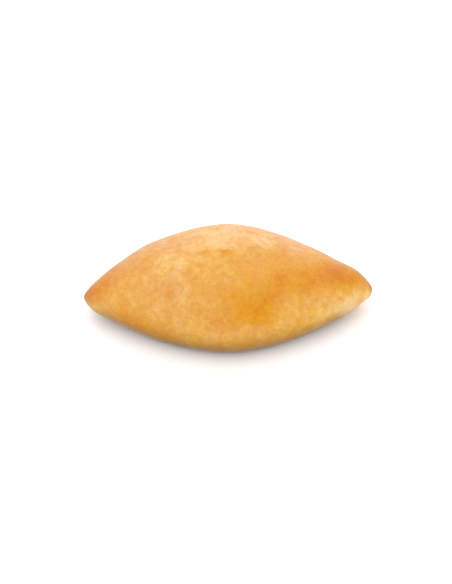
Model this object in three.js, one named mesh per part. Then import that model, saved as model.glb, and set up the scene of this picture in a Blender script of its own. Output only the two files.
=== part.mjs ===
// A brioche roll: one piece of dough, rolled under the hands into a spindle with a point at each end,
// then proved and baked on a flat tray.
//
// Millimetres, +Z up. X runs from the left point to the right point, and -Y is the front.
// A ball of facets is drawn out along X: each ring of the ball becomes one cross-section of the roll,
// and whatever would sink into the tray is pressed flat against it.

import * as THREE from 'three';
import { mergeVertices } from 'three/addons/utils/BufferGeometryUtils.js';

// Driving dimensions of the roll.
const length = 110; // from point to point
const width = 55; // across the middle, from front to back
const height = 33.8; // from the tray to the crown
const bellyHeight = 9.8; // of the widest line over the tray, at the middle
const pointHeight = 9.4; // of both points over the tray, before they droop
const bow = 0.6; // how far the middle lies forward of the two points
const sway = 1.5; // the left half leans back and the right half forward, by at most 0.4 of this

// Each end starts as a small blunt nose, and the body swells behind it.
// A higher fullness makes the body reach its whole thickness nearer to the point.
// The last millimetres of each point droop a little while the dough proves.
const leftEnd = { noseRadius: 1.9, noseLength: 5.4, fullness: 1.91, droop: 0.43, droopReach: 5.8 };
const rightEnd = { noseRadius: 2.65, noseLength: 4.5, fullness: 1.65, droop: 0.75, droopReach: 6.6 };
const crownRounding = 0.08; // share of the half length over which the middle is eased round

// Cross-section: 2 is an ellipse, and more is squarer.
const domeSquareness = 2.15;
const bellySquareness = 2.3;
const sag = 1.6; // depth of the unpressed belly under the widest line, as a share of bellyHeight
const bellyHold = 0.7; // under 1, the belly thins out later than the dome towards the points
const footRounding = 2; // over this height the belly turns in to the flat base

// Swellings (rise over 0) and hollows (rise under 0) that shaping and proving leave in the dough.
// x is the place along the roll, and around is the direction in degrees: 0 front, 90 crown, 180 back,
// -90 base. The reaches say how far it spreads, in millimetres along X and in degrees around.
const unevenness = [
  // The shoulder before the right point.
  { x: 48.7, around: 115, reachAlong: 4, reachAround: 55, rise: 1.05 },
  // The flat underside of the right point.
  { x: 51.6, around: -30, reachAlong: 2.9, reachAround: 50, rise: -0.37 },
  // The nub under the left point.
  { x: -50.3, around: -45, reachAlong: 3.2, reachAround: 60, rise: 0.9 },
  // The full cheek at the upper left.
  { x: -32, around: 125, reachAlong: 6, reachAround: 45, rise: 0.26 },
  // The soft hollow in the front, right of the middle.
  { x: 16, around: 40, reachAlong: 13, reachAround: 24, rise: -0.55 },
  // A slack place in the back, left of the middle.
  { x: -14, around: 150, reachAlong: 14, reachAround: 22, rise: -0.4 },
];
const noseHold = 1.2; // within about this distance of a point the unevenness dies away

// Facets: rings along the roll, and sides around it.
const ringCount = 68;
const sideCount = 64;

const halfLength = length / 2;

function endOf(along) {
  return along < 0 ? leftEnd : rightEnd;
}

function distanceFromPoint(along) {
  return (1 - Math.abs(along)) * halfLength;
}

// How thick the dome is at a place along it, from -1 (left point) to 1 (right point), as a share of its
// thickness at the middle.
function thicknessAt(along) {
  const end = endOf(along);
  const noseShare = end.noseRadius / (width / 2);
  const nose = Math.sqrt(1 - Math.exp((-2 * distanceFromPoint(along)) / end.noseLength));
  const eased = (offset) => Math.pow(offset * offset + crownRounding * crownRounding, end.fullness / 2);
  const body = (eased(1) - eased(along)) / (eased(1) - eased(0));
  return noseShare * nose + (1 - noseShare) * body;
}

// Distance from the axis to the even skin, in the direction whose forward and upward parts are given.
function skinDistance(thickness, forward, upward) {
  const isDome = upward > 0;
  const halfWidth = (width / 2) * thickness;
  const domeDepth = (height - bellyHeight) * thickness;
  const bellyDepth = bellyHeight * sag * Math.pow(thickness, bellyHold);
  const squareness = isDome ? domeSquareness : bellySquareness;
  const across = Math.abs(forward) / halfWidth;
  const down = Math.abs(upward) / (isDome ? domeDepth : bellyDepth);
  return Math.pow(Math.pow(across, squareness) + Math.pow(down, squareness), -1 / squareness);
}

// What the unevenness adds to that distance, in a direction in degrees.
function swellingAt(along, around) {
  const hold = 1 - Math.exp(-Math.pow(distanceFromPoint(along) / noseHold, 2));
  let total = 0;
  for (const { x, around: middle, reachAlong, reachAround, rise } of unevenness) {
    const stepAlong = (along * halfLength - x) / reachAlong;
    const turn = THREE.MathUtils.euclideanModulo(around - middle + 180, 360) - 180;
    const stepAround = turn / reachAround;
    total += rise * Math.exp(-stepAlong * stepAlong - stepAround * stepAround);
  }
  return total * hold;
}

// Height of the roll's axis over the tray.
function axisHeight(along) {
  const end = endOf(along);
  const droop = end.droop * Math.exp(-Math.pow(distanceFromPoint(along) / end.droopReach, 2));
  return THREE.MathUtils.lerp(bellyHeight, pointHeight, along * along) - droop;
}

// Heights under the tray come up to it, and those just over it are eased, which rounds the foot.
function pressOnTray(z) {
  const easing = Math.max(footRounding - Math.abs(z), 0) / footRounding;
  return Math.max(z, 0) + (easing * easing * footRounding) / 4;
}

// The point of the skin at a place along the roll, in a direction around its axis.
function skinPoint(along, around) {
  const forward = Math.cos(around);
  const upward = Math.sin(around);
  const evenDistance = skinDistance(thicknessAt(along), forward, upward);
  const distance = evenDistance + swellingAt(along, THREE.MathUtils.radToDeg(around));
  const stillBowed = 1 - along * along;
  const axisY = -(bow + sway * along) * stillBowed;
  return new THREE.Vector3(
    along * halfLength,
    axisY - distance * forward,
    pressOnTray(axisHeight(along) + distance * upward),
  );
}

function makeRoll() {
  const ball = new THREE.SphereGeometry(1, sideCount, ringCount);
  ball.deleteAttribute('normal');
  ball.deleteAttribute('uv');
  const skin = mergeVertices(ball);
  const position = skin.getAttribute('position');
  for (let i = 0; i < position.count; i += 1) {
    // The ball's poles, on its Y axis, become the two points. Its Z axis turns to the roll's Y, and its
    // X axis to the roll's Z.
    const around = Math.atan2(position.getX(i), -position.getZ(i));
    const point = skinPoint(position.getY(i), around);
    position.setXYZ(i, point.x, point.y, point.z);
  }

  // The origin is the middle of the base of the roll's box.
  skin.computeBoundingBox();
  const centre = skin.boundingBox.getCenter(new THREE.Vector3());
  skin.translate(-centre.x, -centre.y, -skin.boundingBox.min.z);
  skin.computeVertexNormals();

  const crust = new THREE.MeshStandardMaterial({ color: 0xe6a657, roughness: 0.5, metalness: 0 });
  const roll = new THREE.Mesh(skin, crust);
  roll.name = 'roll';
  return roll;
}

const briocheRoll = new THREE.Group();
briocheRoll.add(makeRoll());

export default briocheRoll;
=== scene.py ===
import math
import random

import bmesh
import bpy
import numpy as np
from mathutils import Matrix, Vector, kdtree, noise


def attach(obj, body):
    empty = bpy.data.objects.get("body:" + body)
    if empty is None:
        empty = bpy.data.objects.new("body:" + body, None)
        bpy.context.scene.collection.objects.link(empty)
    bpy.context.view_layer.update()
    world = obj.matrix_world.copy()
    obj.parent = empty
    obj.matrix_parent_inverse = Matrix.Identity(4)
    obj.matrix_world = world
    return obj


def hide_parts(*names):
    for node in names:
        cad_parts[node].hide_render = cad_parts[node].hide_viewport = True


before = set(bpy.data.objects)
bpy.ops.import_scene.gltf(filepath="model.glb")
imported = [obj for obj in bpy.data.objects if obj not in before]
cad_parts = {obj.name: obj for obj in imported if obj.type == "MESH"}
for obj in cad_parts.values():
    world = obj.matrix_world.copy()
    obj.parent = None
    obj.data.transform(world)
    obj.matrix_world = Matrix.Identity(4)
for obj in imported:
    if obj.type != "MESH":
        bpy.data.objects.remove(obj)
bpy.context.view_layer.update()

# ------------------------------------------------------------------------------------------------------
# The roll: one piece of enriched dough, shaped by hand, washed with egg and baked on a flat tray.
# Its skin is drawn taut over the crumb, so it is smooth from afar, with the fine grain, soft dimples and
# small pits of a baked crust. The form comes from the frame, and the relief is worked into it.
# ------------------------------------------------------------------------------------------------------

mm = 0.001
weld_distance = 0.001 * mm  # corners closer than this are one corner
skin_step = 0.42 * mm  # size of the faces of the fine skin


def fine_skin():
    """The roll's form from the frame, rounded and given small even faces."""
    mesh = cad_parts["roll"].data.copy()
    work = bmesh.new()
    work.from_mesh(mesh)
    bmesh.ops.remove_doubles(work, verts=work.verts, dist=weld_distance)
    bmesh.ops.join_triangles(
        work, faces=work.faces, angle_face_threshold=math.pi, angle_shape_threshold=math.pi
    )
    work.to_mesh(mesh)
    work.free()
    form = bpy.data.objects.new("form", mesh)
    bpy.context.scene.collection.objects.link(form)
    rounded = form.modifiers.new("rounded", "SUBSURF")
    rounded.levels = 2
    even = form.modifiers.new("even", "REMESH")
    even.mode = "VOXEL"
    even.voxel_size = skin_step
    soft = form.modifiers.new("soft", "SMOOTH")
    soft.factor = 0.5
    soft.iterations = 6
    seen = form.evaluated_get(bpy.context.evaluated_depsgraph_get())
    fine = bpy.data.meshes.new_from_object(seen)
    bpy.data.objects.remove(form)
    return fine


# The crust's relief: the length of its waves, and about how far they stand out or sink in.
broad_wave, broad_rise = 17 * mm, 0.12 * mm  # the dough's own soft unevenness
dimple_wave, dimple_rise = 5.5 * mm, 0.09 * mm
grain_wave, grain_rise = 1.5 * mm, 0.045 * mm
grain_layers, grain_finer, grain_fall = 2, 2.0, 1.0  # its second layer is twice as fine and half as high
broad_shift, dimple_shift = Vector((3, 8, 1)), Vector((7, 2, 5))  # they keep the waves from lining up
tray_smooth = 9 * mm  # the relief fades out over this height down to the tray

pit_count = 260
pit_radius = (0.5 * mm, 1.3 * mm)
pit_depth = (0.03 * mm, 0.12 * mm)
pit_seed = 11


def relief(point):
    """How far the crust stands out of the even form at a point."""
    broad = noise.noise(point / broad_wave + broad_shift)
    dimple = noise.noise(point / dimple_wave + dimple_shift)
    grain = noise.fractal(point / grain_wave, grain_fall, grain_finer, grain_layers)
    return broad_rise * broad + dimple_rise * dimple + grain_rise * grain


def sink_pits(places, rise):
    """Lower the rise of the skin's places round the middle of each pit, less towards its rim."""
    tree = kdtree.KDTree(len(places))
    for index, place in enumerate(places):
        tree.insert(place, index)
    tree.balance()
    chance = random.Random(pit_seed)
    for _ in range(pit_count):
        middle = places[chance.randrange(len(places))]
        radius = chance.uniform(*pit_radius)
        depth = chance.uniform(*pit_depth)
        for _, index, distance in tree.find_range(middle, radius):
            rise[index] -= depth * (1 - (distance / radius) ** 2) ** 2


def work_relief(mesh):
    """Move the skin out and in by its relief and its pits, and keep it on the tray."""
    places = np.empty(len(mesh.vertices) * 3)
    mesh.vertices.foreach_get("co", places)
    places = places.reshape(-1, 3)
    outward = np.array([vertex.normal[:] for vertex in mesh.vertices])
    rise = np.array([relief(Vector(place)) for place in places])
    sink_pits(places, rise)

    over_tray = np.clip(places[:, 2] / tray_smooth, 0, 1)
    kept = over_tray * over_tray * (3 - 2 * over_tray)
    places += outward * (rise * kept)[:, None]
    places[:, 2] = np.maximum(places[:, 2], 0)
    mesh.vertices.foreach_set("co", places.reshape(-1))
    mesh.polygons.foreach_set("use_smooth", [True] * len(mesh.polygons))
    mesh.update()


skin = fine_skin()
work_relief(skin)
roll = bpy.data.objects.new("crusty_roll", skin)
bpy.context.scene.collection.objects.link(roll)

# The crust's colour, for a diffuse surface. Browning runs from 0, where the skin stays pale, to 1.
browning_shades = [
    (0.00, (0.68, 0.430, 0.135)),
    (0.35, (0.58, 0.278, 0.058)),
    (0.70, (0.54, 0.205, 0.028)),
    (1.00, (0.49, 0.155, 0.016)),
]
usual_browning = 0.31
# Richness is how much yolk the wash left, which takes blue out of the colour: over richness_range, what
# the shade's blue is multiplied by runs down blue_range.
usual_richness = 0.54
richness_range, blue_range = (-0.2, 1.25), (1.72, 0.12)

# Places where the crust differs: centre and reach in millimetres, and what they add to its browning and
# to its richness.
places_apart = [
    # The shoulder and the upper side of the right point.
    ((39.5, -3.5, 21), 11, 0.72, 0.58),
    ((42, -7.5, 17.5), 7, 0.10, 0.45),
    ((47.5, -2, 17), 9, 0.38, 0.80),
    ((52, -1.5, 12.5), 7, 0.12, 0.12),
    ((49.5, -0.5, 15.5), 5.5, 0.15, 0.60),
    ((55, 0, 11), 4, 0.50, 0.50),
    # The browned streak that runs down the front from that shoulder.
    ((30, -9.5, 24), 10, 0.40, 0.45),
    ((23, -11.5, 26), 9, 0.16, 0.26),
    ((17.5, -16, 26), 9, 0.30, 0.35),
    ((12, -21.5, 22), 9, 0.27, 0.45),
    ((8, -18.5, 26), 10, 0.20, 0.30),
    ((5.5, -24, 20.5), 9, 0.20, 0.65),
    ((-2.5, -20, 26), 9, 0.15, 0.20),
    ((-3.5, -25, 19.5), 8, 0.20, 0.10),
    ((13, -24, 17), 9, 0.05, 0.36),
    ((18, -6, 30), 10, 0.15, 0.10),
    ((11, -12, 30), 7, 0.08, 0.20),
    # The lower right of the front.
    ((25, -21, 12), 13, -0.06, 0.25),
    # The upper side of the left point.
    ((-53, -2, 12), 6, 0.35, 0.20),
    ((-49, -2, 15), 8, 0.50, 0.40),
    ((-43, 1, 19), 9, 0.35, 0.0),
    # The lower left of the front, and two small blotches in the left half.
    ((-37, -14.5, 9.5), 11, 0.22, 0.45),
    ((-27, -20, 8), 11, 0.15, 0.40),
    ((-16, -24.5, 12), 11, -0.07, 0.15),
    ((-22, -17, 23.5), 4.5, 0.25, 0.0),
    ((-15, -9.5, 30.5), 4.5, 0.20, 0.30),
    # Two small marks on the crown.
    ((-8.5, -2.7, 33.3), 3.2, 0.36, 0.70),
    ((-1.5, -5.6, 33.4), 3.2, 0.36, 0.70),
    # The crown and the upper edge behind it, paler and less rich: partly the crust's own paler colour and
    # partly a painted highlight, the sheen along that edge.
    ((-5, 4, 33.5), 15, -0.28, -0.40),
    ((-22, 7, 28.5), 13, 0.0, -0.60),
    ((24, 7, 27), 13, 0.0, -0.60),
    ((12, 5, 32), 11, -0.24, -0.56),
    ((3, 10.5, 32), 9, -0.10, -0.25),
    ((-22, -3, 29.5), 9, -0.12, 0.0),
    ((-17, -7, 30), 9, -0.20, -0.20),
    ((-23, -15, 25), 15, -0.02, -0.30),
    ((-36, 3.5, 23.5), 12, 0.10, -0.28),
    ((27, 7, 26), 5, 0.0, -0.40),
    ((42, 6, 20), 9, 0.0, -0.90),
    # The undersides of both points, which the heat reached least.
    ((45, -10.5, 11.5), 10, -0.52, -0.50),
    ((35.5, -16, 11), 9, -0.25, 0.0),
    ((53, -4.5, 8), 5, -0.40, -0.20),
    ((-51, -5.5, 10), 6, -0.20, -0.35),
    # The back.
    ((-24, 20, 18), 13, 0.30, 0.30),
    ((12, 24, 20), 12, 0.25, 0.35),
    ((36, 12, 18), 10, 0.25, 0.20),
    ((-2, 20, 12), 12, -0.20, -0.20),
]

# The crust's noises: the length of the waves, the finer layers on them, and the strength of each layer
# beside the last. What follows each is how much it changes.
stray_noise, stray_reach = (8 * mm, 3, 0.5), 9 * mm  # it makes the edges of the places apart wander
mottle_noise, mottle_browning = (5 * mm, 5, 0.7), 0.68  # cloudy browning
freckle_noise, freckle_browning = (2.4 * mm, 1, 0.5), 0.12  # small spots that browned first
freckle_range = (0.45, 0.80)  # of that noise: below it is no spot, and above it a full one
tint_noise, tint_richness = (6 * mm, 5, 0.85), 1.75  # the wash lies thicker and thinner
tint_shift = (1, 2, 3)  # it takes the tints from another part of the noise than the mottling
speck_noise, speck_light = (1.4 * mm, 3, 0.8), 0.50  # fine lighter and darker specks
pore_noise, pore_depth, pore_strength = (0.9 * mm, 2, 0.6), 0.15 * mm, 0.5  # about as fine as the faces

# The foot, up to foot_top over the tray, is browner and richer, and darker with painted shade where the
# skin turns under towards the tray.
foot_base, foot_top = 1 * mm, 14 * mm
foot_painted_shade, foot_browning, foot_richness = 0.66, 0.12, 0.58
# It dies away towards the points, which hang clear of the tray: over foot_ends from foot_middle.
foot_middle, foot_ends = -3 * mm, (42 * mm, 53 * mm)

# The far side of both ends is browner, and darker with painted shade. The edge of this browning and shade
# lies far_edge behind the axis at the roll's middle, where nothing shows of it yet, and meets the axis
# far_swing from the middle.
far_edge, far_swing = 9.4 * mm, 46 * mm
far_soft = 8 * mm  # over this width it comes in behind its edge
far_ends = (22 * mm, 42 * mm)  # and over these distances from the roll's middle
far_painted_shade, far_browning = 0.24, 0.25

# Painted shade darkens the very end of the left point.
tip_ends, tip_painted_shade = (-56 * mm, -50 * mm), 0.25  # the very end of the left point is darker

skin_gloss = 0.15  # the wash dried to a soft satin shine
skin_roughness = (0.38, 0.55)  # from the palest mottling to the brownest
mottle_swing = 0.2  # how far the mottling swings to either side
sheen, sheen_roughness = 0.28, 0.4  # of the dry skin seen edge on

crust = bpy.data.materials.new("baked_crust")
crust.use_nodes = True
nodes, links = crust.node_tree.nodes, crust.node_tree.links


def set_inputs(node, values):
    """Give a node's sockets, in their order, a plain value or what another node puts out."""
    for socket, value in zip(node.inputs, values):
        if isinstance(value, bpy.types.NodeSocket):
            links.new(value, socket)
        else:
            socket.default_value = value


def calc(operation, *values):
    """What a Math node makes of these values."""
    node = nodes.new("ShaderNodeMath")
    node.operation = operation
    set_inputs(node, values)
    return node.outputs[0]


def vector_calc(operation, *values):
    """What a Vector Math node makes of these values."""
    node = nodes.new("ShaderNodeVectorMath")
    node.operation = operation
    set_inputs(node, values)
    return node.outputs["Value" if operation == "DISTANCE" else "Vector"]


def spread(value, from_low, from_high, to_low, to_high):
    """Ease a value from one range to another, and hold it at the ends."""
    node = nodes.new("ShaderNodeMapRange")
    node.interpolation_type = "SMOOTHSTEP"
    set_inputs(node, (value, from_low, from_high, to_low, to_high))
    return node.outputs["Result"]


def noise_at(place, wave, layers, layer_strength, kind="Fac"):
    """A noise from 0 to 1, and for the kind Color three of them, as a vector."""
    node = nodes.new("ShaderNodeTexNoise")
    node.inputs["Scale"].default_value = 1 / wave
    node.inputs["Detail"].default_value = layers
    node.inputs["Roughness"].default_value = layer_strength
    links.new(place, node.inputs["Vector"])
    return node.outputs[kind]


def swing_at(place, *noise_values):
    """A noise that swings to both sides of 0."""
    return calc("SUBTRACT", noise_at(place, *noise_values), 0.5)


def foot_share(along, height):
    """1 low on the roll, where it is browner and darker with painted shade, and 0 on its crown and on both
    points.
    """
    low = spread(height, foot_base, foot_top, 1, 0)
    off_middle = calc("ABSOLUTE", calc("SUBTRACT", along, foot_middle))
    return spread(off_middle, *foot_ends, low, 0)


def far_share(along, across):
    """1 on the far side of both ends, and 0 on the near side and in the roll's middle."""
    off_middle = calc("ABSOLUTE", along)
    swing = calc("POWER", calc("DIVIDE", off_middle, far_swing), 2)
    behind = calc("MULTIPLY_ADD", swing, far_edge, across)
    at_ends = spread(off_middle, *far_ends, 0, 1)
    return spread(behind, far_edge, far_edge + far_soft, 0, at_ends)


def add(value, share, amount):
    """The value with this share of the amount added to it."""
    return calc("MULTIPLY_ADD", share, amount, value)


def crust_colour(place, mottling):
    """The shade that the browning gives, made richer by the wash, lighter or darker in fine specks, and
    darkened by painted shade at the foot, along the far edges of both ends and at the left point.
    """
    split = nodes.new("ShaderNodeSeparateXYZ")
    links.new(place, split.inputs[0])
    along, across, height = split.outputs
    foot, far = foot_share(along, height), far_share(along, across)

    browning, richness = usual_browning, usual_richness
    stray = vector_calc("SUBTRACT", noise_at(place, *stray_noise, "Color"), (0.5, 0.5, 0.5))
    strayed = vector_calc("MULTIPLY_ADD", stray, (stray_reach, stray_reach, stray_reach), place)
    for centre, reach, browner, richer in places_apart:
        away = vector_calc("DISTANCE", strayed, [value * mm for value in centre])
        share = spread(away, 0, reach * mm, 1, 0)
        browning = add(browning, share, browner)
        richness = add(richness, share, richer)

    freckles = spread(noise_at(place, *freckle_noise), *freckle_range, 0, 1)
    browning = add(browning, mottling, mottle_browning)
    browning = add(browning, freckles, freckle_browning)
    browning = add(browning, foot, foot_browning)
    browning = add(browning, far, far_browning)
    shades = nodes.new("ShaderNodeValToRGB")
    stops = shades.color_ramp.elements
    stops.remove(stops[1])
    for position, colour in browning_shades:
        stop = stops[0] if position == 0 else stops.new(position)
        stop.color = (*colour, 1)
    links.new(browning, shades.inputs[0])

    tints = swing_at(vector_calc("ADD", place, tint_shift), *tint_noise)
    richness = add(richness, tints, tint_richness)
    richness = add(richness, foot, foot_richness)
    blue = nodes.new("ShaderNodeMapRange")
    set_inputs(blue, (richness, *richness_range, *blue_range))

    light = add(1, swing_at(place, *speck_noise), speck_light)
    # Painted shade at the foot, where the skin turns under towards the tray.
    light = calc("MULTIPLY", light, add(1, foot, -foot_painted_shade))
    # Painted shade along the far edges of both ends.
    light = calc("MULTIPLY", light, add(1, far, -far_painted_shade))
    # Painted shade at the very end of the left point.
    light = calc("MULTIPLY", light, spread(along, *tip_ends, 1 - tip_painted_shade, 1))
    tint = nodes.new("ShaderNodeCombineXYZ")
    set_inputs(tint, (light, light, calc("MULTIPLY", light, blue.outputs["Result"])))
    return vector_calc("MULTIPLY", shades.outputs["Color"], tint.outputs[0])


def pores(place):
    """The finest unevenness of the skin, as a bump."""
    bump = nodes.new("ShaderNodeBump")
    bump.inputs["Strength"].default_value = pore_strength
    bump.inputs["Distance"].default_value = pore_depth
    links.new(noise_at(place, *pore_noise), bump.inputs["Height"])
    return bump.outputs["Normal"]


place = nodes.new("ShaderNodeTexCoord").outputs["Object"]
mottling = swing_at(place, *mottle_noise)
crust_shader = nodes["Principled BSDF"]
links.new(crust_colour(place, mottling), crust_shader.inputs["Base Color"])
links.new(spread(mottling, -mottle_swing, mottle_swing, *skin_roughness), crust_shader.inputs["Roughness"])
links.new(pores(place), crust_shader.inputs["Normal"])
crust_shader.inputs["Specular IOR Level"].default_value = skin_gloss
crust_shader.inputs["Sheen Weight"].default_value = sheen
crust_shader.inputs["Sheen Roughness"].default_value = sheen_roughness

skin.materials.clear()
skin.materials.append(crust)
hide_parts("roll")
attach(roll, "root")

# ------------------------------------------------------------------------------------------------------
# The table: a plain board, painted matt white, and so wide that its edges don't show.
# The roll lies on the middle of it, and it isn't part of the object.
# ------------------------------------------------------------------------------------------------------

half_table = 3.0  # metres
table_white, table_roughness = 0.90, 0.9

table_mesh = bpy.data.meshes.new("table")
table_mesh.from_pydata(
    [(x * half_table, y * half_table, 0) for x, y in ((-1, -1), (1, -1), (1, 1), (-1, 1))],
    [],
    [(0, 1, 2, 3)],
)
table = bpy.data.objects.new("table", table_mesh)
bpy.context.scene.collection.objects.link(table)
table_material = bpy.data.materials.new("white_table")
table_material.use_nodes = True
table_shader = table_material.node_tree.nodes["Principled BSDF"]
table_shader.inputs["Base Color"].default_value = (table_white, table_white, table_white, 1)
table_shader.inputs["Roughness"].default_value = table_roughness
table_shader.inputs["Specular IOR Level"].default_value = 0
table_mesh.materials.append(table_material)

# ------------------------------------------------------------------------------------------------------
# The light: a white room, so bright from all sides that the bare table comes out white.
# A broad soft lamp hangs above and behind the roll, and is turned to its middle.
# ------------------------------------------------------------------------------------------------------

room_brightness = 1.44
lamp_azimuth, lamp_elevation = 180, 65
lamp_distance, lamp_side, lamp_power = 0.8, 0.8, 0.8  # metres, and watts

room = bpy.data.worlds.new("white_room")
room.use_nodes = True
room.node_tree.nodes["Background"].inputs["Color"].default_value = (1, 1, 1, 1)
room.node_tree.nodes["Background"].inputs["Strength"].default_value = room_brightness
bpy.context.scene.world = room


def direction(azimuth, elevation):
    """The direction from the roll at these angles in degrees. Azimuth 0 is the front, and 90 the right."""
    turn, rise = math.radians(azimuth), math.radians(elevation)
    return Vector((math.sin(turn) * math.cos(rise), -math.cos(turn) * math.cos(rise), math.sin(rise)))


def set_up(name, data, location, facing_away):
    """Put a lamp or a camera at a place, with its back in this direction."""
    holder = bpy.data.objects.new(name, data)
    holder.location = location
    holder.rotation_mode = "QUATERNION"
    holder.rotation_quaternion = facing_away.to_track_quat("Z", "Y")
    bpy.context.scene.collection.objects.link(holder)
    return holder


lamp = bpy.data.lights.new("overhead", "AREA")
lamp.shape = "SQUARE"
lamp.size = lamp_side
lamp.energy = lamp_power
lamp_back = direction(lamp_azimuth, lamp_elevation)
set_up("overhead", lamp, lamp_back * lamp_distance, lamp_back)

# ------------------------------------------------------------------------------------------------------
# The camera: it looks at the roll from the front, a little from the left, and 42 degrees above the
# table. It stands 62 cm away and has a long lens.
# ------------------------------------------------------------------------------------------------------

camera_azimuth, camera_elevation = -2.44, 42.0
camera_distance = 0.6217
aim_right, aim_up = -0.97 * mm, 7.34 * mm  # from the roll's origin to what it aims at, as it sees them

back = direction(camera_azimuth, camera_elevation)
right = Vector((math.cos(math.radians(camera_azimuth)), math.sin(math.radians(camera_azimuth)), 0))
up = back.cross(right)
lens = bpy.data.cameras.new("camera")
lens.lens = 100
lens.sensor_width = 36
camera = set_up("camera", lens, right * aim_right + up * aim_up + back * camera_distance, back)
bpy.context.scene.camera = camera
bpy.context.scene.view_settings.view_transform = "Standard"
